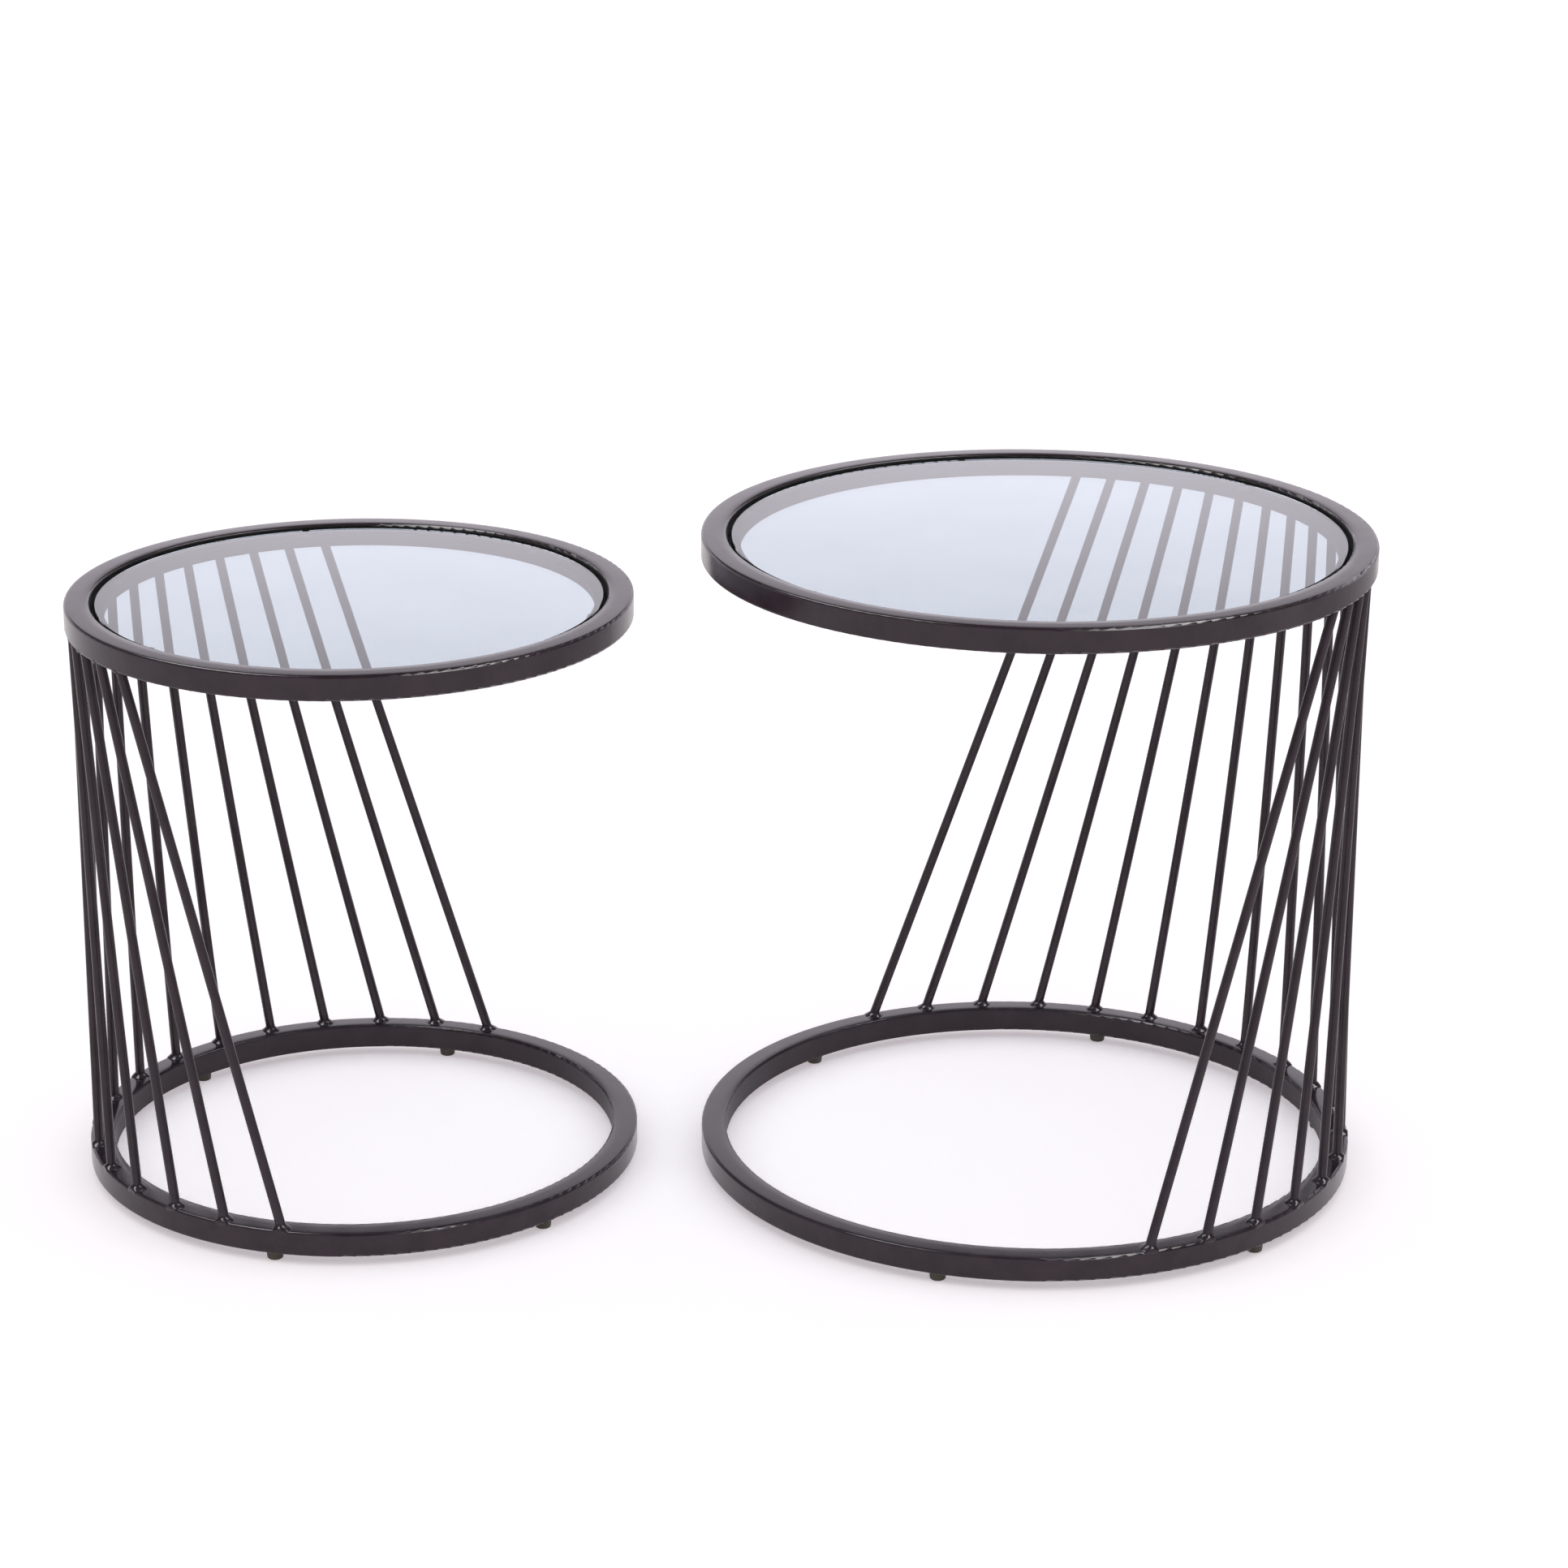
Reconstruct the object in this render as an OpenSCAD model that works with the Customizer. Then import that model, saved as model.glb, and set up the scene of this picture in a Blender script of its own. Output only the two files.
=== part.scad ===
// Pair of round nesting side tables. Each stands on a ring of square tube, and a fan of
// round rods carries an upper ring of the same tube, with a glass disc dropped into it.
// The rods of each table fill one side and leave the other side open, and the two open
// sides face each other. Millimetres, +Z up. The origin is on the floor, midway along the
// pair. The large table is at +X, the small one at -X.

/* [Large table] */
// Outside diameter of the rings
large_d = 500; // [480:1:560]
// Height from the floor to the top of the upper ring
large_h = 499; // [470:1:560]
// How many rods
large_rods = 18; // [6:1:18]
// Which way the middle of the rod fan points, in degrees from +X
large_turn = 22.6; // [0:0.2:60]
// Angle that the rods span on the lower ring
large_low_span = 188.6; // [120:0.2:200]
// Angle that the rods span on the upper ring
large_high_span = 112.2; // [80:0.2:160]
// From the outer face of the upper ring to the near side of the rods
large_high_inset = 4; // [2:0.25:7]
// Where the first foot is, in degrees from +X
large_foot_turn = 11.6; // [0:0.2:59]

/* [Small table] */
// Outside diameter of the rings
small_d = 421; // [380:1:440]
// Height from the floor to the top of the upper ring
small_h = 451; // [400:1:453]
// How many rods
small_rods = 16; // [6:1:16]
// Which way the middle of the rod fan points, in degrees from +X
small_turn = 161.8; // [120:0.2:180]
// Angle that the rods span on the lower ring
small_low_span = 191.8; // [120:0.2:200]
// Angle that the rods span on the upper ring
small_high_span = 121; // [80:0.2:160]
// From the outer face of the upper ring to the near side of the rods
small_high_inset = 2; // [2:0.25:7]
// Where the first foot is, in degrees from +X
small_foot_turn = 15.7; // [0:0.2:59]

/* [Pair] */
// Gap between the two tables as they stand
table_gap = 50; // [40:1:120]

/* [Tube] */
// Side of the square tube
tube_w = 19; // [16:0.5:22]
// Wall of the tube
tube_wall = 1.2; // [1:0.1:2]
// Outside corner radius of the tube
tube_corner = 2; // [1.5:0.25:2.5]

/* [Rods] */
// Diameter of the rods
rod_d = 7.3; // [5:0.1:8]
// From the outer face of the lower ring to the near side of the rods
low_inset = 2; // [2:0.25:5]
// How far a weld spreads around a rod
weld_leg = 2.6; // [1.5:0.1:3]
// How far a weld climbs along a rod
weld_climb = 3.6; // [2:0.1:5]

/* [Glass] */
// Thickness of the glass
glass_t = 5; // [4:0.5:6]
// How far the glass lies below the top of its ring
glass_drop = 2.4; // [1:0.1:3]
// Gap around the glass, from its edge to the wall of the tube
glass_gap = 3; // [1:0.25:4]
// Width of the flat that is ground on the edges of the glass
glass_arris = 0.7; // [0.3:0.1:1.2]

/* [Ledge and pads] */
// Width of the flat bar that carries the glass
ledge_w = 10; // [8:0.5:14]
// Height of the flat bar that carries the glass
ledge_h = 7; // [4:0.5:7]
// Height of the clear pads under the glass
pad_h = 4; // [2:0.5:4]
// Diameter of the pads
pad_d = 8; // [6:0.5:8]
// How many pads carry each glass
pad_count = 6; // [3:1:8]

/* [Feet] */
// How many feet each table has
foot_count = 6; // [3:1:6]
// Diameter of a foot where it meets the ring
foot_d = 13; // [10:0.5:14]
// Height of a foot below the ring
foot_h = 7; // [4:0.5:10]
// Diameter of the stem that plugs into the ring
stem_d = 6; // [4:0.5:8]
// How far the stem reaches into the ring
stem_h = 7; // [4:0.5:10]
// Clearance between the stem and its hole, all round
stem_fit = 0.1; // [0.05:0.05:0.3]

/* [Hidden] */
$fn = 96;
LARGE = 0;
SMALL = 1;
// One value for the large table and one for the small table
names = ["large", "small"];
ring_r = [large_d / 2, small_d / 2];
rods = [large_rods, small_rods];
turn = [large_turn, small_turn];
low_span = [large_low_span, small_low_span];
high_span = [large_high_span, small_high_span];
high_inset = [large_high_inset, small_high_inset];
foot_turn = [large_foot_turn, small_foot_turn];
// The pair is centred on the origin along X
pair_w = large_d + small_d + table_gap;
mid_x = [pair_w / 2 - ring_r[LARGE], ring_r[SMALL] - pair_w / 2];

// Heights of the faces that the rods run between
low_z = foot_h + tube_w;
high_z = [large_h - tube_w, small_h - tube_w];
// The glass, and under it the pads and the ledge
glass_z = [large_h - glass_drop - glass_t, small_h - glass_drop - glass_t];
ledge_top_z = [glass_z[LARGE] - pad_h, glass_z[SMALL] - pad_h];

rod_r = rod_d / 2;
// Rounding of the corners inside the tube
bore_corner = max(tube_corner - tube_wall, 0.3);
// How far a rod or a weld is made too long before it is trimmed to the tube
trim = 6;
// Turn that keeps the seam of a round bar clear of the faces that trim it
seam_turn = 60;
// Steps in which a weld follows the rounded corner of the tube
corner_step = 15;
// Taper, bottom rounding and chamfered stem of a foot
foot_taper = 0.6;
foot_round = 1.4;
stem_tip = 1;
// A pad narrows to this share of its diameter at the top
pad_top_share = 0.7;
// Height of a pad's straight side
pad_side_h = pad_h / 3;

frame_colour = [0.24, 0.21, 0.22];
rod_colour = [0.25, 0.24, 0.25];
weld_colour = [0.28, 0.26, 0.27];
glass_colour = [0.82, 0.86, 0.93, 0.4];
pad_colour = [0.92, 0.94, 0.95, 0.7];
foot_colour = [0.13, 0.12, 0.11];

function two(i) = i < 10 ? str("0", i) : str(i);
function rod_name(t, i) = str(names[t], "_rod_", two(i));
function foot_name(t, i) = str(names[t], "_foot_", i);
function spread(span, i, n) = span * (i / (n - 1) - 0.5);
// Middle of rod i (counted from 1) on the lower and on the upper ring
function on_ring(t, r, a, z) = [mid_x[t] + r * cos(a), r * sin(a), z];
function rod_foot(t, i) = on_ring(t, ring_r[t] - low_inset - rod_r,
    turn[t] + spread(low_span[t], i - 1, rods[t]), low_z);
function rod_head(t, i) = on_ring(t, ring_r[t] - high_inset[t] - rod_r,
    turn[t] + spread(high_span[t], i - 1, rods[t]), high_z[t]);
function lean(v) = acos(v.z / norm(v));
function heading(v) = atan2(v.y, v.x);

// Square with round corners, its lower left corner at the origin
module soft_square(w, r) {
    translate([r, 0]) square([w - 2 * r, w]);
    translate([0, r]) square([w, w - 2 * r]);
    for (x = [r, w - r], y = [r, w - r])
        translate([x, y]) circle(r);
}

// Square tube rolled into a ring, standing on z
module tube_ring(t, z, hollow = true) {
    translate([mid_x[t], 0, z])
        rotate_extrude()
            translate([ring_r[t] - tube_w, 0])
                difference() {
                    soft_square(tube_w, tube_corner);
                    if (hollow)
                        translate([tube_wall, tube_wall])
                            soft_square(tube_w - 2 * tube_wall, bore_corner);
                }
}

module at_feet(t, i) {
    a = foot_turn[t] + 360 * (i - 1) / foot_count;
    translate(on_ring(t, ring_r[t] - tube_w / 2, a, foot_h)) children();
}

// Lower ring, with a hole through its bottom wall for each foot
module bottom_ring(t) {
    color(frame_colour)
        difference() {
            tube_ring(t, foot_h);
            for (i = [1:foot_count])
                at_feet(t, i)
                    translate([0, 0, -tube_wall])
                        cylinder(d = stem_d + 2 * stem_fit, h = 3 * tube_wall);
        }
}

module top_ring(t) {
    color(frame_colour) tube_ring(t, high_z[t]);
}

// Flat bar rolled on edge inside the upper ring
module glass_ledge(t) {
    wall_r = ring_r[t] - tube_w;
    color(frame_colour)
        translate([mid_x[t], 0, ledge_top_z[t] - ledge_h])
            difference() {
                cylinder(r = wall_r, h = ledge_h);
                translate([0, 0, -ledge_h / 2])
                    cylinder(r = wall_r - ledge_w, h = 2 * ledge_h);
            }
}

// Clear pads stuck on the ledge, flat on top where the glass rests
module glass_pads(t) {
    pad_r = pad_d / 2;
    color(pad_colour)
        for (i = [0:pad_count - 1])
            translate(on_ring(t, ring_r[t] - tube_w - ledge_w / 2,
                foot_turn[t] + 360 * (i + 0.5) / pad_count, ledge_top_z[t])) {
                rotate_extrude()
                    polygon([[0, 0], [pad_r, 0], [pad_r, pad_side_h],
                        [pad_r * pad_top_share, pad_h], [0, pad_h]]);
            }
}

// Glass disc with a small flat ground along both edges
module glass_top(t) {
    r = ring_r[t] - tube_w - glass_gap;
    color(glass_colour)
        translate([mid_x[t], 0, glass_z[t]])
            rotate_extrude()
                polygon([[0, 0], [r - glass_arris, 0], [r, glass_arris],
                    [r, glass_t - glass_arris], [r - glass_arris, glass_t], [0, glass_t]]);
}

// Bar along a rod's line, longer than the rod at both ends
module rod_bar(t, i) {
    run = rod_head(t, i) - rod_foot(t, i);
    translate(rod_foot(t, i))
        rotate([0, lean(run), heading(run)])
            translate([0, 0, -trim])
                rotate([0, 0, seam_turn]) cylinder(r = rod_r, h = norm(run) + 2 * trim);
}

// Rod cut flat where it meets each ring
module rod(t, i) {
    run = rod_head(t, i) - rod_foot(t, i);
    room = [abs(run.x) + 4 * rod_d, abs(run.y) + 4 * rod_d, run.z];
    middle = (rod_head(t, i) + rod_foot(t, i)) / 2;
    color(rod_colour)
        intersection() {
            rod_bar(t, i);
            translate(middle - room / 2) cube(room);
        }
}

// Space open to weld metal at a ring's flat face, down to its rounded outer corner and out
// to its outer face; up is 1 on a face that looks up and -1 on one that looks down
module weld_room(t, face_z, up) {
    corner = [ring_r[t] - tube_corner, -tube_corner];
    reach = tube_corner / cos(corner_step / 2);
    outline = [
        [ring_r[t] - tube_w + tube_corner, 0],
        for (a = [90 - corner_step / 2:-corner_step:corner_step / 2])
            corner + reach * [cos(a), sin(a)],
        [ring_r[t], trim], [ring_r[t] - tube_w + tube_corner, trim]
    ];
    translate([mid_x[t], 0, face_z])
        rotate_extrude() polygon([for (p = outline) [p.x, p.y * up]]);
}

// Weld metal around one end of a rod, kept within the outer face of the ring
module weld(t, i, end, up) {
    run = rod_head(t, i) - rod_foot(t, i);
    outline = [[rod_r, weld_climb], [rod_r, -trim], [rod_r + weld_leg, -trim], [rod_r + weld_leg, 0]];
    intersection() {
        translate(end)
            rotate([0, lean(run), heading(run)])
                rotate([0, 0, seam_turn])
                    rotate_extrude() polygon([for (p = outline) [p.x, p.y * up]]);
        weld_room(t, end.z, up);
    }
}

module rod_welds(t) {
    color(weld_colour)
        for (i = [1:rods[t]]) {
            weld(t, i, rod_foot(t, i), 1);
            weld(t, i, rod_head(t, i), -1);
        }
}

// Plug-in foot: a stem in the ring's hole, and a tapered round pad on the floor
module foot(t, i) {
    r = foot_d / 2;
    sole_r = r - foot_taper - foot_round;
    color(foot_colour)
        at_feet(t, i)
            rotate_extrude()
                polygon([
                    [0, -foot_h], [sole_r, -foot_h],
                    for (a = [corner_step:corner_step:90])
                        [sole_r + foot_round * sin(a), foot_round * (1 - cos(a)) - foot_h],
                    [r, 0], [stem_d / 2, 0], [stem_d / 2, stem_h - stem_tip],
                    [stem_d / 2 - stem_tip, stem_h], [0, stem_h]
                ]);
}

for (t = [LARGE, SMALL]) {
    bottom_ring(t);
    top_ring(t);
    glass_ledge(t);
    glass_pads(t);
    glass_top(t);
    rod_welds(t);
    for (i = [1:rods[t]])
        rod(t, i);
    for (i = [1:foot_count])
        foot(t, i);
}
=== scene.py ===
"""Nesting tables: two round side tables of dark steel with glass tops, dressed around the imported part."""
import math

import bpy
from mathutils import Matrix, Vector


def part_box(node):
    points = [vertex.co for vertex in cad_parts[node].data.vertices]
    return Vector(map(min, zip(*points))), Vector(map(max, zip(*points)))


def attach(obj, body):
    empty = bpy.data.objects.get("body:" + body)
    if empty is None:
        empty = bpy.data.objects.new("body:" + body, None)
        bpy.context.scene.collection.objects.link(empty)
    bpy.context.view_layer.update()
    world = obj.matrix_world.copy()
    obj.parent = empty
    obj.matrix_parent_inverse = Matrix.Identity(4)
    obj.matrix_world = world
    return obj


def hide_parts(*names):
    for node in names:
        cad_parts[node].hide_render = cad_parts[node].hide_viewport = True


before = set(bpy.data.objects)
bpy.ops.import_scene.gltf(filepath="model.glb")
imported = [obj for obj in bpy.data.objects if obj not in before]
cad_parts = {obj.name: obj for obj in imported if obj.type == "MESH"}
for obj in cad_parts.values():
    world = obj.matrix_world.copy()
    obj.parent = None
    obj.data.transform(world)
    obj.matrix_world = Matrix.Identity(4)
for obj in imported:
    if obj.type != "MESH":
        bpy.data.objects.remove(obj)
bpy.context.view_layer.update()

# ---------------------------------------------------------------- the object's own sizes, in metres
TABLES = ("large", "small")
BODY = {"large": "large_table", "small": "small_table"}
MM = 0.001
# Rolling the tube leaves its upper face this much lower at its outer and at its inner wall
FALL_OUTER = 0.16 * MM
FALL_INNER = 0.67 * MM
# The inner wall of a rolled tube is this much lower in its middle than along its edges
HOLLOW = 0.6 * MM
# How late the fall and the lip set in between a face's middle and its edge: the higher, the later
FALL_POWER = 3.0
LIP_POWER = 4.0
# Past this place across the tube, which runs from -1 to 1, its inner wall begins
INNER_WALL = -0.97
# A weld bead: how far it spreads beside the rod and in front of it, and how far it climbs
BEAD_SIDE = 3.6 * MM
BEAD_FRONT = 4.5 * MM
BEAD_CLIMB = 4.2 * MM
BEAD_SINK = 3.0 * MM
BEAD_RIPPLE = 0.25 * MM
ROD_RADIUS = 3.65 * MM
# The bead's bore is this share of the rod's radius, so that it closes on the rod
BORE_SHARE = 0.985
# The beads under the upper ring are this share of the size of those on the lower ring
UPPER_BEAD = 0.8
# How sharply the skirt widens along the ring, and how sharply it draws in towards the rod
SKIRT_POWER = 1.5
TAPER_POWER = 1.9
BEAD_CORNERS = 28
BEAD_ROWS = 8
# The beads are ground this far below the ring's outer wall
GROUND = 0.02 * MM
# What a seed point carries besides its place
SEED_DATA = (("aim", "FLOAT_VECTOR"), ("slope", "FLOAT_VECTOR"), ("size", "FLOAT"), ("foot", "FLOAT"))

# ---------------------------------------------------------------- the studio's sizes, in metres
FLOOR_REACH = 14.0
# The lit wall: how far behind the object, its size and its brightness
WALL_AWAY = 2.75
WALL_WIDE = 6.0
WALL_TALL = 1.75
WALL_GLOW = 2.2
# The wall's colour at shares of its height
WALL_FADE = ((0.0, "#a8a4ab"), (0.4, "#b5b1b8"), (0.56, "#f4eef8"), (0.65, "#eae4ee"), (0.81, "#b6b1b9"),
             (0.87, "#6a676b"), (1.0, "#000000"))
# The grey screen: where its two feet stand, and its height
SCREEN_FEET = ((1.0, 1.2), (1.6, 0.0))
SCREEN_TALL = 0.35
# The softboxes: how far to each side, in front and up, the point they face, their size and their power
BOX_SIDE = 1.55
BOX_FRONT = 0.25
BOX_UP = 2.7
BOX_AIM = (0, 0, 0.4)
BOX_WIDE = 3.0
BOX_TALL = 0.8
BOX_POWER = 105
# The dome: its strength, how much of the sky it fills and how it is tipped, in degrees
DOME_POWER = 2.2
DOME_ANGLE = 130
DOME_TILT = (6, 2)
# The world's colour from the horizon, at 0, up to the ceiling, at 1
WORLD_FADE = ((0.0, "#ffffff"), (0.12, "#ededed"), (0.3, "#7c7c7c"), (1.0, "#505050"))
# The camera: its lens and sensor in millimetres, its place, and its turn in radians
LENS = 95.57
SENSOR = 36
EYE = (0.0203, -2.9746, 1.3136)
YAW = math.radians(-0.533)
PITCH = 0.32803
ROLL = 0.00573


def node(name):
    """The CAD node of that name."""
    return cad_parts[name]


def middle(name):
    """Middle of a CAD node's box."""
    low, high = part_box(name)
    return (Vector(low) + Vector(high)) / 2


def ring(table):
    """Middle of a table, the outer radius of its rings, and the width of their tube."""
    low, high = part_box(table + "_top_ring")
    return middle(table + "_top_ring"), (high[1] - low[1]) / 2, high[2] - low[2]


def rods(table):
    """Names of a table's rods, in order."""
    return sorted(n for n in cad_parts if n.startswith(table + "_rod_") and n[-1].isdigit())


def rod_ends(name):
    """Centre of a rod's lower and upper end, from the rim of each cut."""
    points = [v.co for v in node(name).data.vertices]
    ends = []
    for z in (min(p.z for p in points), max(p.z for p in points)):
        rim = [p for p in points if abs(p.z - z) < 0.1 * MM]
        x, y = ([p[axis] for p in rim] for axis in (0, 1))
        ends.append(Vector(((min(x) + max(x)) / 2, (min(y) + max(y)) / 2, z)))
    return ends


# ---------------------------------------------------------------- colour and nodes
def colour(hex_code):
    """sRGB hex to linear RGBA."""
    channels = [int(hex_code[i:i + 2], 16) / 255 for i in (1, 3, 5)]
    linear = [c / 12.92 if c <= 0.04045 else ((c + 0.055) / 1.055) ** 2.4 for c in channels]
    return (*linear, 1.0)


def add(tree, kind, settings=None, **inputs):
    """Adds a node, sets its properties, and sets or links its inputs. Settings that are one word are the
    node's operation, and stops are a colour ramp's (position, colour) pairs. An input is named by its
    label in lower case with underscores, or as in_0, in_1 where labels repeat. A node given for an input
    stands for its first output."""
    new = tree.nodes.new(kind)
    if isinstance(settings, str):
        settings = {"operation": settings}
    for key, value in (settings or {}).items():
        if key == "stops":
            line = new.color_ramp.elements
            while len(line) < len(value):
                line.new(0.5)
            for element, (place, shade) in zip(line, value):
                element.position = place
                element.color = shade
        else:
            setattr(new, key, value)
    for key, value in inputs.items():
        if key.startswith("in_"):
            socket = new.inputs[int(key[3:])]
        else:
            socket = next(s for s in new.inputs if s.name.lower().replace(" ", "_") == key and s.enabled)
        if isinstance(value, bpy.types.Node):
            value = value.outputs[0]
        if isinstance(value, bpy.types.NodeSocket):
            tree.links.new(value, socket)
        else:
            socket.default_value = value
    return new


def material(name):
    """An empty material with its output node, and its tree."""
    made = bpy.data.materials.new(name)
    made.use_nodes = True
    made.node_tree.nodes.clear()
    return made, made.node_tree


def crown(tree, place, table):
    """Height field of a rolled square tube. Its upper and lower faces are flat midway and fall away to
    the walls, more so to the inner wall, which is drawn in to a hollow with a lip along each edge. Gives
    back the height, then two masks: 1 on the inner wall, and 1 on the upper ring."""
    centre, outer, width = ring(table)
    half = width / 2
    flat = add(tree, "ShaderNodeVectorMath", "MULTIPLY_ADD", in_0=place, in_1=(1, 1, 0),
               in_2=(-centre.x, -centre.y, 0))
    reach = add(tree, "ShaderNodeVectorMath", "LENGTH", in_0=flat).outputs["Value"]
    past = add(tree, "ShaderNodeMath", "SUBTRACT", in_0=reach, in_1=outer - half)
    # Place across the face, -1 at the inner wall and 1 at the outer wall
    across = add(tree, "ShaderNodeMath", "DIVIDE", in_0=past, in_1=half)
    inward = add(tree, "ShaderNodeMath", "LESS_THAN", in_0=across, in_1=0.0)
    fall = add(tree, "ShaderNodeMath", "MULTIPLY_ADD", in_0=inward, in_1=FALL_OUTER - FALL_INNER,
               in_2=-FALL_OUTER)
    away = add(tree, "ShaderNodeMath", "ABSOLUTE", in_0=across)
    steep = add(tree, "ShaderNodeMath", "POWER", in_0=away, in_1=FALL_POWER)
    face = add(tree, "ShaderNodeMath", "MULTIPLY", in_0=steep, in_1=fall)
    # Place up the wall, -1 at the tube's bottom and 1 at its top, for the upper and the lower ring alike
    level = add(tree, "ShaderNodeSeparateXYZ", in_0=place).outputs["Z"]
    tops = [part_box(table + end)[1][2] for end in ("_bottom_ring", "_top_ring")]
    upper = add(tree, "ShaderNodeMath", "GREATER_THAN", in_0=level, in_1=sum(tops) / 2)
    core = add(tree, "ShaderNodeMath", "MULTIPLY_ADD", in_0=upper, in_1=tops[1] - tops[0],
               in_2=tops[0] - half)
    above = add(tree, "ShaderNodeMath", "SUBTRACT", in_0=level, in_1=core)
    up = add(tree, "ShaderNodeMath", "DIVIDE", in_0=above, in_1=half)
    off = add(tree, "ShaderNodeMath", "ABSOLUTE", in_0=up)
    lip = add(tree, "ShaderNodeMath", "POWER", in_0=off, in_1=LIP_POWER)
    deep = add(tree, "ShaderNodeMath", "MULTIPLY", in_0=inward, in_1=HOLLOW)
    wall = add(tree, "ShaderNodeMath", "MULTIPLY", in_0=lip, in_1=deep)
    inner = add(tree, "ShaderNodeMath", "LESS_THAN", in_0=across, in_1=INNER_WALL)
    return add(tree, "ShaderNodeMath", "ADD", in_0=face, in_1=wall), inner, upper


def powder_coat(table=None):
    """Polyester powder coat on steel, baked: a satin dark brown-grey with a fine orange peel. It reads
    nearly black where it turns to the ceiling and lighter where it mirrors the pale room. Given a table,
    it also carries the slight crown that rolling leaves in the faces of that table's tubes, and near-black
    painted shade on the upper ring's inner wall, in the gap round the glass."""
    made, tree = material("satin_powder_coated_" + (table + "_ring" if table else "steel"))
    place = add(tree, "ShaderNodeTexCoord").outputs["Object"]
    # Cloudy patches about 25 mm wide, from an uneven spray
    cloud = add(tree, "ShaderNodeTexNoise", vector=place, scale=40.0, detail=3.0, roughness=0.6)
    # Orange peel with a pitch of 2.5 mm
    peel = add(tree, "ShaderNodeTexNoise", vector=place, scale=400.0, detail=2.0, roughness=0.5)
    tint = add(tree, "ShaderNodeValToRGB", {"stops": ((0.35, colour("#291f26")), (0.65, colour("#31262d")))},
               fac=cloud)
    gloss = add(tree, "ShaderNodeMapRange", value=cloud, from_min=0.3, from_max=0.7, to_min=0.17,
                to_max=0.22)
    bump = add(tree, "ShaderNodeBump", height=peel, strength=0.2, distance=0.0001)
    if table:
        height, inner, upper = crown(tree, place, table)
        rolled = add(tree, "ShaderNodeBump", height=height, strength=1.0, distance=1.0)
        tree.links.new(rolled.outputs["Normal"], bump.inputs["Normal"])
        # The inner walls catch little spray and stay dull. The upper ring's inner wall, which the glass
        # faces, is painted near black: painted shade for the shadowed gap round the glass
        gap_shade_mask = add(tree, "ShaderNodeMath", "MULTIPLY", in_0=inner, in_1=upper)
        tint = add(tree, "ShaderNodeMixRGB", fac=gap_shade_mask, color1=tint, color2=colour("#0b090a"))
        dull = add(tree, "ShaderNodeMath", "MULTIPLY", in_0=inner, in_1=0.5)
        gloss = add(tree, "ShaderNodeMath", "MAXIMUM", in_0=gloss, in_1=dull)
    shader = add(tree, "ShaderNodeBsdfPrincipled", base_color=tint, roughness=gloss, normal=bump, ior=1.45,
                 specular_ior_level=0.35)
    add(tree, "ShaderNodeOutputMaterial", surface=shader)
    return made


def painted_gap_shade():
    """Near-black matt coat for the flat bar under the glass: painted shade that swallows the light in the
    gap round the glass."""
    made, tree = material("matt_black_primer")
    place = add(tree, "ShaderNodeTexCoord").outputs["Object"]
    # Grains of about 1 mm in the near-black painted shade
    grain = add(tree, "ShaderNodeTexNoise", vector=place, scale=1000.0, detail=2.0, roughness=0.6)
    tint = add(tree, "ShaderNodeValToRGB", {"stops": ((0.3, colour("#0d0b0c")), (0.7, colour("#191617")))},
               fac=grain)
    bump = add(tree, "ShaderNodeBump", height=grain, strength=0.3, distance=0.0002)
    shader = add(tree, "ShaderNodeBsdfPrincipled", base_color=tint, roughness=0.75, normal=bump, ior=1.45)
    add(tree, "ShaderNodeOutputMaterial", surface=shader)
    return made


def float_glass():
    """Tempered float glass, lightly blue-grey, polished faces: clear with a cool cast, and a strong
    mirror at a low angle."""
    made, tree = material("grey_tempered_float_glass")
    place = add(tree, "ShaderNodeTexCoord").outputs["Object"]
    # A slow wave in the surface, from rolling in the furnace
    wave = add(tree, "ShaderNodeTexNoise", vector=place, scale=14.0, detail=1.0)
    bump = add(tree, "ShaderNodeBump", height=wave, strength=0.05, distance=0.0005)
    tint = add(tree, "ShaderNodeValToRGB", {"stops": ((0.3, colour("#b8c7d2")), (0.7, colour("#bccbd6")))},
               fac=wave)
    shader = add(tree, "ShaderNodeBsdfPrincipled", base_color=tint, roughness=0.0, ior=1.52,
                 transmission_weight=1.0, normal=bump)
    add(tree, "ShaderNodeOutputMaterial", surface=shader)
    return made


def clear_silicone():
    """Moulded clear silicone bumpers: see-through and a little cloudy, with a soft gloss."""
    made, tree = material("clear_silicone")
    place = add(tree, "ShaderNodeTexCoord").outputs["Object"]
    haze = add(tree, "ShaderNodeTexNoise", vector=place, scale=900.0, detail=2.0)
    tint = add(tree, "ShaderNodeValToRGB", {"stops": ((0.3, colour("#e6e8e8")), (0.7, colour("#f4f5f5")))},
               fac=haze)
    shader = add(tree, "ShaderNodeBsdfPrincipled", base_color=tint, roughness=0.18, ior=1.41,
                 transmission_weight=0.9)
    add(tree, "ShaderNodeOutputMaterial", surface=shader)
    return made


def foot_rubber():
    """Moulded dark brown rubber: matte, with a fine grain from the mould and dust on it."""
    made, tree = material("moulded_brown_rubber")
    place = add(tree, "ShaderNodeTexCoord").outputs["Object"]
    grain = add(tree, "ShaderNodeTexNoise", vector=place, scale=1500.0, detail=3.0)
    tint = add(tree, "ShaderNodeValToRGB", {"stops": ((0.3, colour("#2e2b22")), (0.7, colour("#403b2e")))},
               fac=grain)
    bump = add(tree, "ShaderNodeBump", height=grain, strength=0.3, distance=0.0001)
    shader = add(tree, "ShaderNodeBsdfPrincipled", base_color=tint, roughness=0.55, normal=bump)
    add(tree, "ShaderNodeOutputMaterial", surface=shader)
    return made


def paint(name, finish):
    """Gives a CAD node its finish."""
    mesh = node(name).data
    mesh.materials.clear()
    mesh.materials.append(finish)


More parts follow.
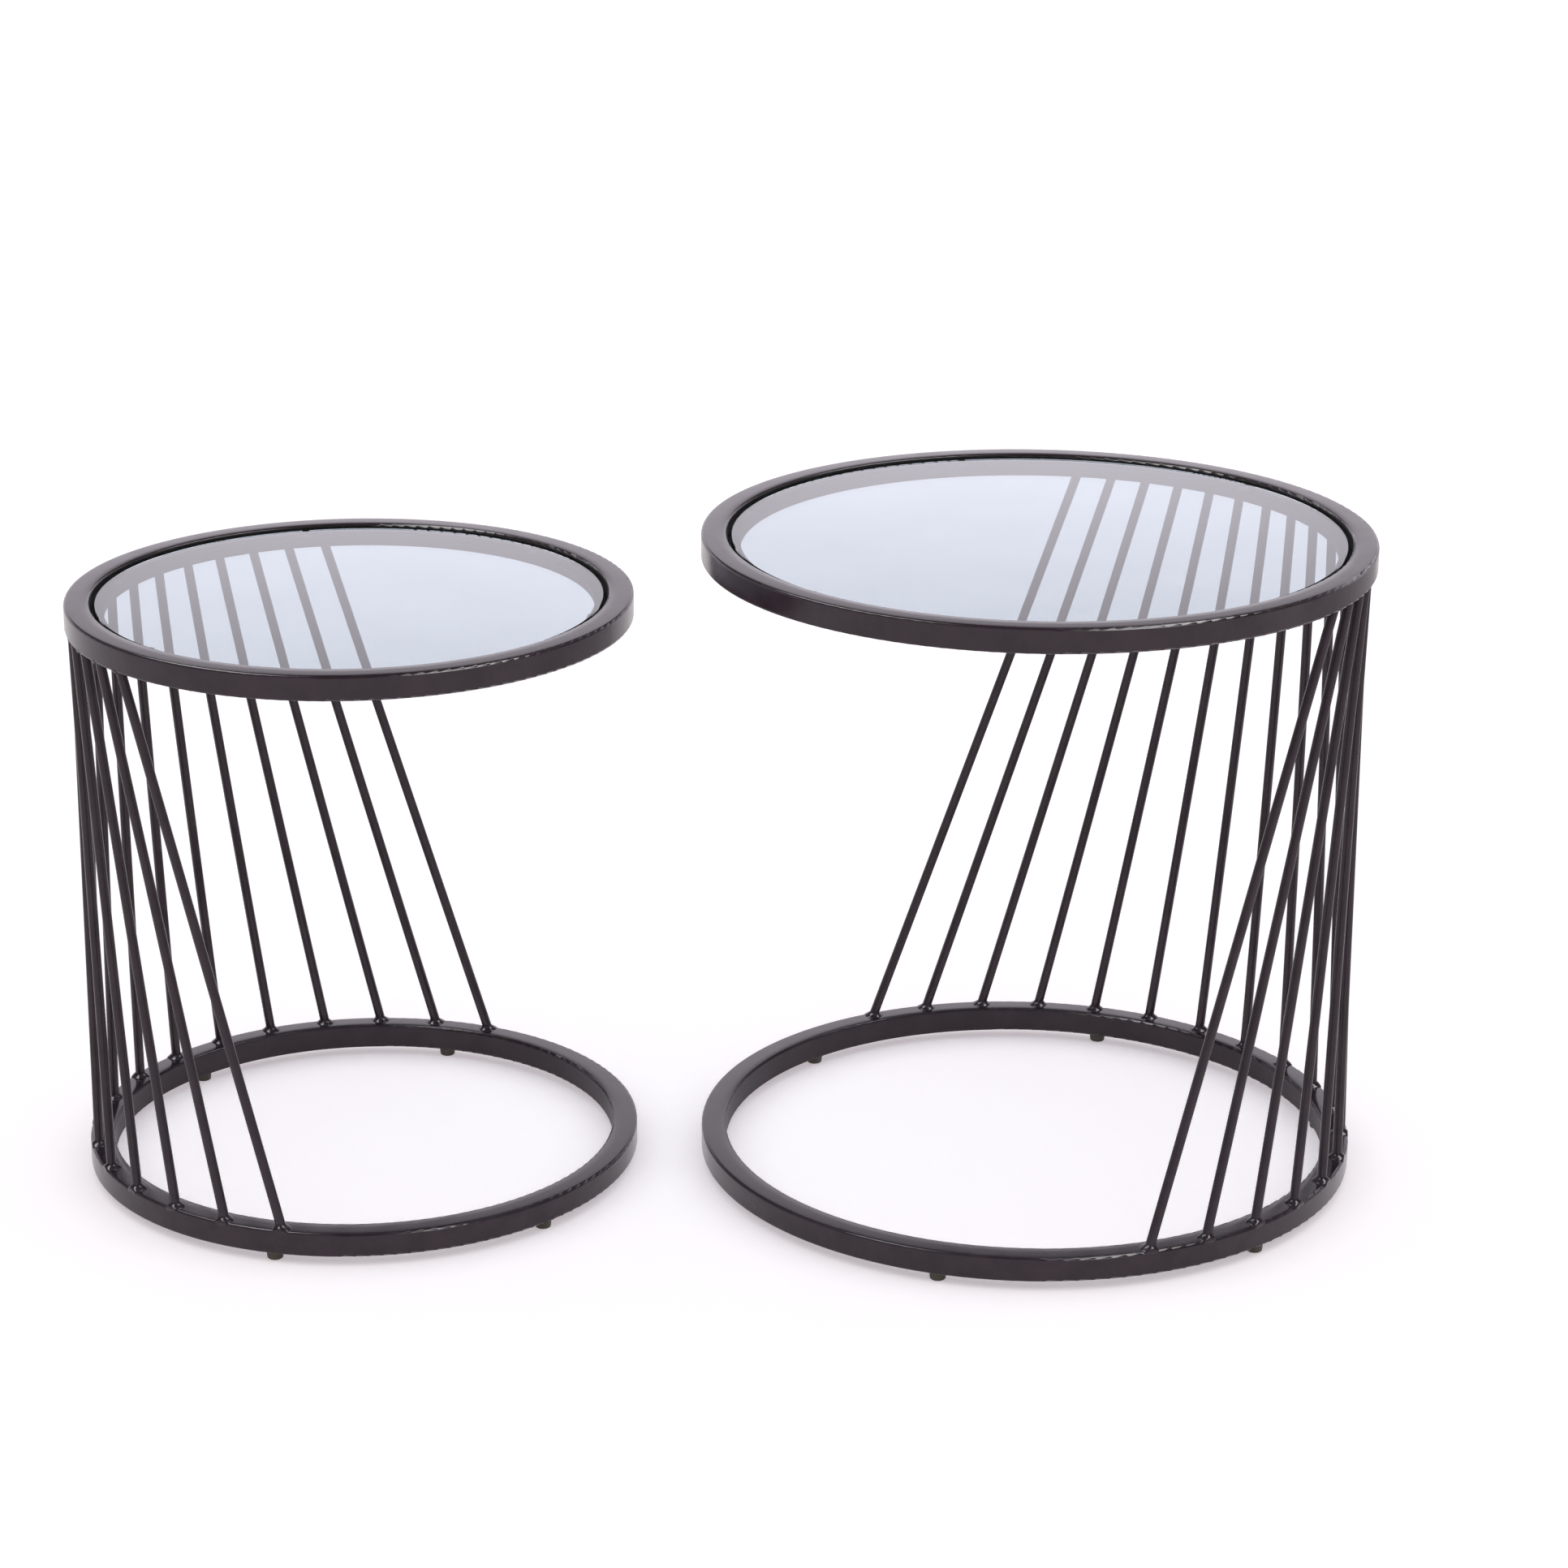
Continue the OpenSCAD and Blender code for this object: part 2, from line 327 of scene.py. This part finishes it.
def dress_nodes(coat, rings, gap_shade_finish, glass, silicone, rubber):
    """Gives every CAD node the finish that its name calls for."""
    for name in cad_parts:
        if name.endswith("_glass_top"):
            paint(name, glass)
        elif name.endswith("_glass_pads"):
            paint(name, silicone)
        elif "_foot_" in name:
            paint(name, rubber)
        # The flat bar under the glass gets near-black painted shade for the gap round the glass
        elif name.endswith("_ledge"):
            paint(name, gap_shade_finish)
        elif name.endswith("_ring"):
            paint(name, rings[name.split("_")[0]])
        else:
            paint(name, coat)


# ---------------------------------------------------------------- weld beads
def seeds(table):
    """One point for each end of each rod, where it meets its ring, with what the bead there needs: how it
    is turned, the rod's slope, the bead's size, and the height it stands at."""
    centre = ring(table)[0]
    points = []
    for name in rods(table):
        low, high = rod_ends(name)
        slope = (high - low) / (high.z - low.z)
        for end, over, size in ((low, 0.0, 1.0), (high, math.pi, UPPER_BEAD)):
            turn = math.atan2(end.y - centre.y, end.x - centre.x)
            points.append((end, (over, 0.0, turn), (slope.x, slope.y, 0.0), size, end.z))
    mesh = bpy.data.meshes.new(table + "_bead_seeds")
    mesh.from_pydata([p[0] for p in points], [], [])
    for column, (label, kind) in enumerate(SEED_DATA, 1):
        layer = mesh.attributes.new(label, kind, "POINT")
        for spot, point in zip(layer.data, points):
            setattr(spot, "value" if kind == "FLOAT" else "vector", point[column])
    return mesh


def bead_tree(coat):
    """Grows a weld bead round a rod at every seed: a wide skirt on the ring, drawn up on to the rod in a
    hollow curve, rippled by the arc, sheared to the rod's lean and flush with the ring's outer wall."""
    tree = bpy.data.node_groups.new("weld_bead_grower", "GeometryNodeTree")
    face = tree.interface
    face.new_socket("Geometry", in_out="INPUT", socket_type="NodeSocketGeometry")
    face.new_socket("Geometry", in_out="OUTPUT", socket_type="NodeSocketGeometry")
    for label in ("Rod radius", "Side leg", "Front leg", "Climb", "Sink", "Outer limit", "Ripple"):
        face.new_socket(label, in_out="INPUT", socket_type="NodeSocketFloat")
    face.new_socket("Centre", in_out="INPUT", socket_type="NodeSocketVector")
    given = add(tree, "NodeGroupInput").outputs
    aim, slope, size, foot = (
        add(tree, "GeometryNodeInputNamedAttribute", {"data_type": kind}, name=label)
        for label, kind in SEED_DATA)

    # A drum of rings of corners, drawn in from a wide skirt to the rod. Rise is 0 at the skirt, 1 on top
    drum = add(tree, "GeometryNodeMeshCylinder", {"fill_type": "NGON"}, vertices=BEAD_CORNERS,
               side_segments=BEAD_ROWS, radius=1.0, depth=1.0)
    at = add(tree, "ShaderNodeSeparateXYZ", in_0=add(tree, "GeometryNodeInputPosition")).outputs
    row = add(tree, "ShaderNodeMath", "ADD", in_0=at["Z"], in_1=0.5)
    started = add(tree, "ShaderNodeMath", "SUBTRACT", in_0=row, in_1=1 / BEAD_ROWS)
    share = add(tree, "ShaderNodeMath", "DIVIDE", in_0=started, in_1=1 - 1 / BEAD_ROWS)
    rise = add(tree, "ShaderNodeMath", "MAXIMUM", in_0=share, in_1=0.0)
    # The skirt is wider along the ring, which is local Y, than across it
    around = add(tree, "ShaderNodeMath", "ARCTAN2", in_0=at["Y"], in_1=at["X"])
    sine = add(tree, "ShaderNodeMath", "SINE", in_0=around)
    cosine = add(tree, "ShaderNodeMath", "COSINE", in_0=around)
    wide = add(tree, "ShaderNodeMath", "ABSOLUTE", in_0=sine)
    side = add(tree, "ShaderNodeMath", "POWER", in_0=wide, in_1=SKIRT_POWER)
    extra = add(tree, "ShaderNodeMath", "SUBTRACT", in_0=given["Side leg"], in_1=given["Front leg"])
    leg = add(tree, "ShaderNodeMath", "MULTIPLY_ADD", in_0=side, in_1=extra, in_2=given["Front leg"])
    left = add(tree, "ShaderNodeMath", "SUBTRACT", in_0=1.0, in_1=rise)
    thin = add(tree, "ShaderNodeMath", "POWER", in_0=left, in_1=TAPER_POWER)
    bore = add(tree, "ShaderNodeMath", "MULTIPLY", in_0=given["Rod radius"], in_1=BORE_SHARE)
    reach = add(tree, "ShaderNodeMath", "MULTIPLY_ADD", in_0=leg, in_1=thin, in_2=bore)
    climbed = add(tree, "ShaderNodeMath", "MULTIPLY", in_0=given["Climb"], in_1=rise)
    lowest = add(tree, "ShaderNodeMath", "LESS_THAN", in_0=row, in_1=0.5 / BEAD_ROWS)
    buried = add(tree, "ShaderNodeMath", "MULTIPLY", in_0=lowest, in_1=given["Sink"])
    height = add(tree, "ShaderNodeMath", "SUBTRACT", in_0=climbed, in_1=buried)
    spot = add(tree, "ShaderNodeCombineXYZ", z=height,
               x=add(tree, "ShaderNodeMath", "MULTIPLY", in_0=cosine, in_1=reach),
               y=add(tree, "ShaderNodeMath", "MULTIPLY", in_0=sine, in_1=reach))
    shaped = add(tree, "GeometryNodeSetPosition", geometry=drum, position=spot)
    turned = add(tree, "FunctionNodeEulerToRotation", euler=aim)
    placed = add(tree, "GeometryNodeInstanceOnPoints", points=given["Geometry"], instance=shaped,
                 rotation=turned, scale=size)
    real = add(tree, "GeometryNodeRealizeInstances", geometry=placed)

    # Leaned over to the rod's slope, with arc ripples about 1.6 mm apart
    here = add(tree, "GeometryNodeInputPosition")
    level = add(tree, "ShaderNodeSeparateXYZ", in_0=here).outputs["Z"]
    above = add(tree, "ShaderNodeMath", "SUBTRACT", in_0=level, in_1=foot)
    lean = add(tree, "ShaderNodeVectorMath", "SCALE", in_0=slope, scale=above)
    noise = add(tree, "ShaderNodeTexNoise", vector=here, scale=600.0, detail=1.0)
    centred = add(tree, "ShaderNodeMath", "SUBTRACT", in_0=noise, in_1=0.5)
    swell = add(tree, "ShaderNodeMath", "MULTIPLY", in_0=centred, in_1=given["Ripple"])
    puff = add(tree, "ShaderNodeVectorMath", "SCALE", in_0=add(tree, "GeometryNodeInputNormal"), scale=swell)
    shift = add(tree, "ShaderNodeVectorMath", "ADD", in_0=lean, in_1=puff)
    leaned = add(tree, "GeometryNodeSetPosition", geometry=real, offset=shift)

    # What passes the ring's outer wall is ground flush with it
    spoke = add(tree, "ShaderNodeVectorMath", "SUBTRACT", in_0=add(tree, "GeometryNodeInputPosition"),
                in_1=given["Centre"])
    arm = add(tree, "ShaderNodeVectorMath", "MULTIPLY", in_0=spoke, in_1=(1, 1, 0))
    length = add(tree, "ShaderNodeVectorMath", "LENGTH", in_0=arm).outputs["Value"]
    short = add(tree, "ShaderNodeMath", "SUBTRACT", in_0=given["Outer limit"], in_1=length)
    cut = add(tree, "ShaderNodeMath", "MINIMUM", in_0=short, in_1=0.0)
    outward = add(tree, "ShaderNodeVectorMath", "NORMALIZE", in_0=arm)
    back = add(tree, "ShaderNodeVectorMath", "SCALE", in_0=outward, scale=cut)
    flush = add(tree, "GeometryNodeSetPosition", geometry=leaned, offset=back)
    smooth = add(tree, "GeometryNodeSetShadeSmooth", geometry=flush)
    coated = add(tree, "GeometryNodeSetMaterial", geometry=smooth, material=coat)
    add(tree, "NodeGroupOutput", geometry=coated)
    return tree


def lay_beads(coat):
    """Grows each table's beads into one plain mesh, which takes the place of the CAD welds."""
    tree = bead_tree(coat)
    keys = {item.name: item.identifier for item in tree.interface.items_tree if item.in_out == "INPUT"}
    for table in TABLES:
        centre, outer, width = ring(table)
        holder = bpy.data.objects.new(table + "_bead_seeds", seeds(table))
        bpy.context.collection.objects.link(holder)
        grower = holder.modifiers.new("beads", "NODES")
        grower.node_group = tree
        for label, value in (("Rod radius", ROD_RADIUS), ("Side leg", BEAD_SIDE), ("Front leg", BEAD_FRONT),
                             ("Climb", BEAD_CLIMB), ("Sink", BEAD_SINK), ("Ripple", BEAD_RIPPLE),
                             ("Outer limit", outer - GROUND)):
            grower[keys[label]] = value
        grower[keys["Centre"]] = (centre.x, centre.y, 0.0)
        mesh = bpy.data.meshes.new_from_object(holder.evaluated_get(bpy.context.evaluated_depsgraph_get()))
        bpy.data.objects.remove(holder)
        beads = bpy.data.objects.new(table + "_weld_beads", mesh)
        bpy.context.collection.objects.link(beads)
        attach(beads, BODY[table])
        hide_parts(table + "_rod_welds")


# ---------------------------------------------------------------- studio
def studio_floor():
    """A wide pale floor."""
    mesh = bpy.data.meshes.new("studio_floor")
    corners = ((-1, -1), (1, -1), (1, 1), (-1, 1))
    mesh.from_pydata([(x * FLOOR_REACH, y * FLOOR_REACH, 0) for x, y in corners], [], [(0, 1, 2, 3)])
    floor = bpy.data.objects.new("studio_floor", mesh)
    bpy.context.collection.objects.link(floor)
    made, tree = material("white_studio_vinyl")
    shader = add(tree, "ShaderNodeBsdfPrincipled", base_color=colour("#f6f4f5"), roughness=0.9,
                 specular_ior_level=0.1, emission_color=colour("#fff3fa"), emission_strength=0.35)
    add(tree, "ShaderNodeOutputMaterial", surface=shader)
    mesh.materials.append(made)


def softbox(name, place):
    """A wide soft light that gloss mirrors. It adds no light to matt surfaces or through the glass."""
    data = bpy.data.lights.new(name, "AREA")
    data.shape = "RECTANGLE"
    data.size = BOX_WIDE
    data.size_y = BOX_TALL
    data.energy = BOX_POWER
    light = bpy.data.objects.new(name, data)
    bpy.context.collection.objects.link(light)
    light.location = place
    light.rotation_euler = (Vector(BOX_AIM) - Vector(place)).to_track_quat("-Z", "Y").to_euler()
    light.visible_diffuse = False
    light.visible_transmission = False


def hide_from_all_but_gloss(prop):
    """Leaves a studio prop to be seen in mirrors and gloss alone."""
    for seen_by in ("camera", "diffuse", "transmission", "volume_scatter", "shadow"):
        setattr(prop, "visible_" + seen_by, False)


def glow_wall():
    """A lit sheet of paper standing behind the object: brightest about a metre up, dimmer towards the
    floor and dark along its top. Only gloss sees it."""
    bpy.ops.mesh.primitive_plane_add(size=1, location=(0, WALL_AWAY, WALL_TALL / 2),
                                     rotation=(math.pi / 2, 0, 0))
    wall = bpy.context.object
    wall.name = "glow_wall"
    wall.scale = (WALL_WIDE, WALL_TALL, 1)
    made, tree = material("glow_paper")
    place = add(tree, "ShaderNodeSeparateXYZ", in_0=add(tree, "ShaderNodeTexCoord").outputs["Object"])
    rise = add(tree, "ShaderNodeMath", "ADD", in_0=place.outputs["Y"], in_1=0.5)
    fade = [(share, colour(shade)) for share, shade in WALL_FADE]
    glow = add(tree, "ShaderNodeValToRGB", {"stops": fade}, fac=rise)
    light = add(tree, "ShaderNodeEmission", color=glow, strength=WALL_GLOW)
    add(tree, "ShaderNodeOutputMaterial", surface=light)
    wall.data.materials.append(made)
    hide_from_all_but_gloss(wall)


def grey_screen():
    """A low grey screen to the right, which only gloss sees. It calms the right-hand walls."""
    mesh = bpy.data.meshes.new("grey_screen")
    mesh.from_pydata([(x, y, z) for z in (0.0, SCREEN_TALL) for x, y in SCREEN_FEET], [], [(0, 1, 3, 2)])
    screen = bpy.data.objects.new("grey_screen", mesh)
    bpy.context.collection.objects.link(screen)
    made, tree = material("grey_paper")
    light = add(tree, "ShaderNodeEmission", color=colour("#d5cfd4"), strength=1.0)
    add(tree, "ShaderNodeOutputMaterial", surface=light)
    mesh.materials.append(made)
    hide_from_all_but_gloss(screen)


def studio_light():
    """A low horizon glow under a dark ceiling, a wide dome of light that only lights the floor and the
    matt surfaces, a high softbox each side that edges the corners, the glowing wall and the screen."""
    world = bpy.data.worlds.new("studio")
    bpy.context.scene.world = world
    world.use_nodes = True
    tree = world.node_tree
    tree.nodes.clear()
    way = add(tree, "ShaderNodeTexCoord").outputs["Generated"]
    height = add(tree, "ShaderNodeSeparateXYZ", in_0=way).outputs["Z"]
    fade = [(share, colour(shade)) for share, shade in WORLD_FADE]
    glow = add(tree, "ShaderNodeValToRGB", {"stops": fade}, fac=height)
    sky = add(tree, "ShaderNodeBackground", color=glow, strength=1.0)
    add(tree, "ShaderNodeOutputWorld", surface=sky)
    data = bpy.data.lights.new("dome", "SUN")
    data.energy = DOME_POWER
    data.angle = math.radians(DOME_ANGLE)
    dome = bpy.data.objects.new("dome", data)
    bpy.context.collection.objects.link(dome)
    dome.rotation_euler = (math.radians(DOME_TILT[0]), math.radians(DOME_TILT[1]), 0)
    dome.visible_glossy = False
    softbox("left_softbox", (-BOX_SIDE, -BOX_FRONT, BOX_UP))
    softbox("right_softbox", (BOX_SIDE, -BOX_FRONT, BOX_UP))
    glow_wall()
    grey_screen()


def camera():
    """Stands in front of the pair at eye height and looks a little down on it."""
    data = bpy.data.cameras.new("camera")
    data.sensor_width = SENSOR
    data.lens = LENS
    data.clip_start = 0.1
    data.clip_end = 100
    eye = bpy.data.objects.new("camera", data)
    bpy.context.collection.objects.link(eye)
    eye.location = EYE
    turn = Matrix.Rotation(YAW, 3, "Z") @ Matrix.Rotation(math.pi / 2 - PITCH, 3, "X")
    eye.rotation_euler = (turn @ Matrix.Rotation(ROLL, 3, "Z")).to_euler()
    bpy.context.scene.camera = eye


camera()
studio_floor()
studio_light()
bpy.context.scene.view_settings.view_transform = "Standard"
coat = powder_coat()
# The ledge's finish is near-black painted shade for the gap round the glass
dress_nodes(coat, {t: powder_coat(t) for t in TABLES}, painted_gap_shade(), float_glass(), clear_silicone(),
            foot_rubber())
lay_beads(coat)
